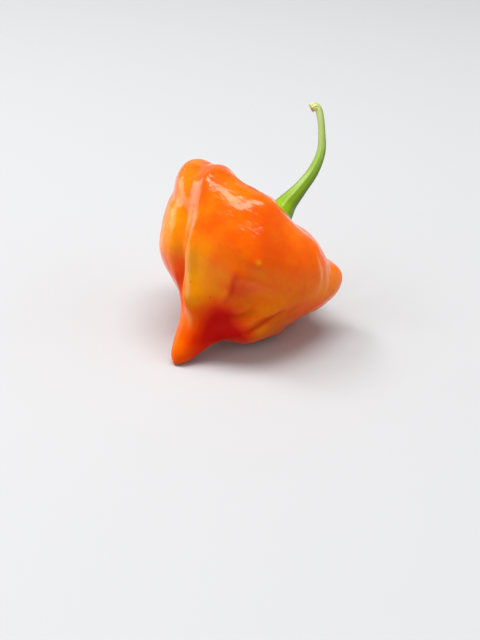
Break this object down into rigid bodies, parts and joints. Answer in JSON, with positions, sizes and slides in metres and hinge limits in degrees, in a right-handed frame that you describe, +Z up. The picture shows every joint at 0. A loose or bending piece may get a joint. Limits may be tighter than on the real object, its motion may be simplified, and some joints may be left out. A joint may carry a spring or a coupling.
{
  "type": "chilli pepper",
  "caption": "Ripe bonnet-shaped chilli pepper with deep lobes, a short blunt tail and a curved green stalk, lying on its side.",
  "frame": {"origin": "under the middle of the whole pepper's box, on the surface that the pepper lies on", "axes": "+Z up from the surface; +X to the right and +Y away, as seen from the side that shows the tail at the lower left and the stalk rising at the right"},
  "size_m": [0.0474, 0.0494, 0.0528],
  "materials": {
    "ripe_skin": "waxy glossy pepper skin, orange-red over yellow, with fine pores and soft wrinkles",
    "green_stalk": "satin green stalk with fine lengthwise ridges and a dry tan cut end"
  },
  "bodies": {
    "root": {"pod": "ripe_skin", "stem_and_calyx": "green_stalk"}
  },
  "joints": []
}
